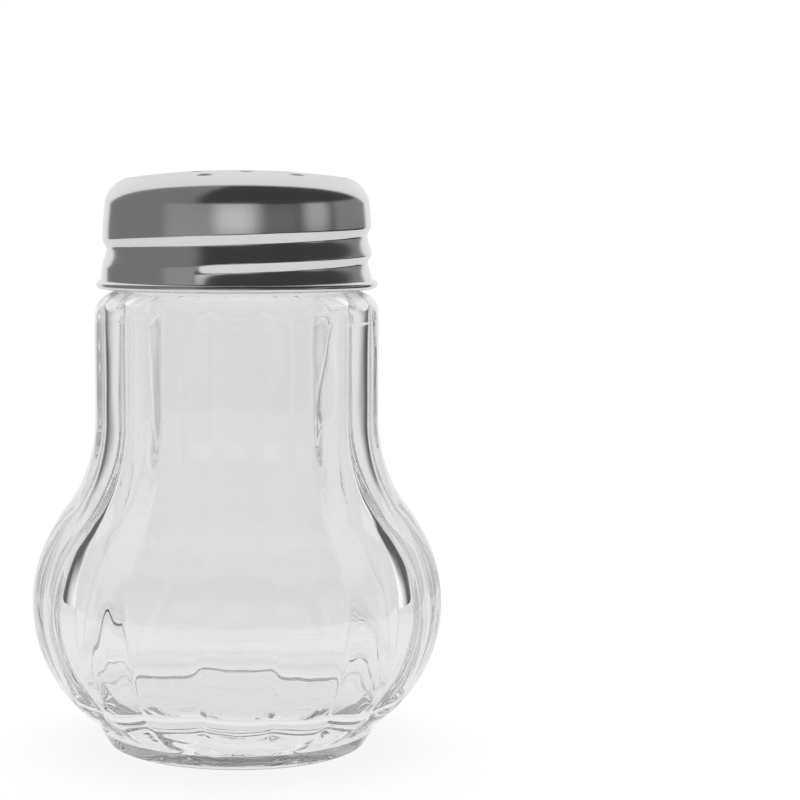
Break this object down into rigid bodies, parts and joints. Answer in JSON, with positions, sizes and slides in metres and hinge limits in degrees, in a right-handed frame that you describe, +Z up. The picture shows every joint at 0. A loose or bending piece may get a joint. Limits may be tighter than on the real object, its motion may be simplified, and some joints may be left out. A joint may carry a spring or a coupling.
{
  "type": "spice shaker",
  "caption": "Clear glass table shaker, pear-shaped with upright lobes, under a domed steel screw lid pierced with pouring holes.",
  "frame": {"origin": "middle of the foot, on the surface the shaker stands on", "axes": "+Z up along the shaker's axis; one lobe of the glass faces -Y"},
  "size_m": [0.0658, 0.0664, 0.0924],
  "materials": {
    "clear_glass": "clear moulded soda-lime glass, fire-polished, with slight waves",
    "stamped_steel": "stainless sheet, finely brushed on the dome and polished on the skirt",
    "seal_plastic": "soft milky polyethylene"
  },
  "bodies": {
    "jar": {"glass_jar": "clear_glass"},
    "seal": {"lid_seal_ring": "seal_plastic"},
    "lid": {"screw_lid": "stamped_steel"}
  },
  "joints": [
    {"name": "lid_rise", "type": "slide", "parent": "jar", "child": "seal", "axis": [0, 0, 1], "range_m": [0, 0.01693]},
    {"name": "lid_turn", "type": "hinge", "parent": "seal", "child": "lid", "pos_m": [0, 0, 0.0895], "axis": [0, 0, 1], "range_deg": [0, 1440]}
  ],
  "couplings": [
    {"joint": "lid_rise", "follows": "lid_turn", "m_per_rad": 0.00067376}
  ]
}
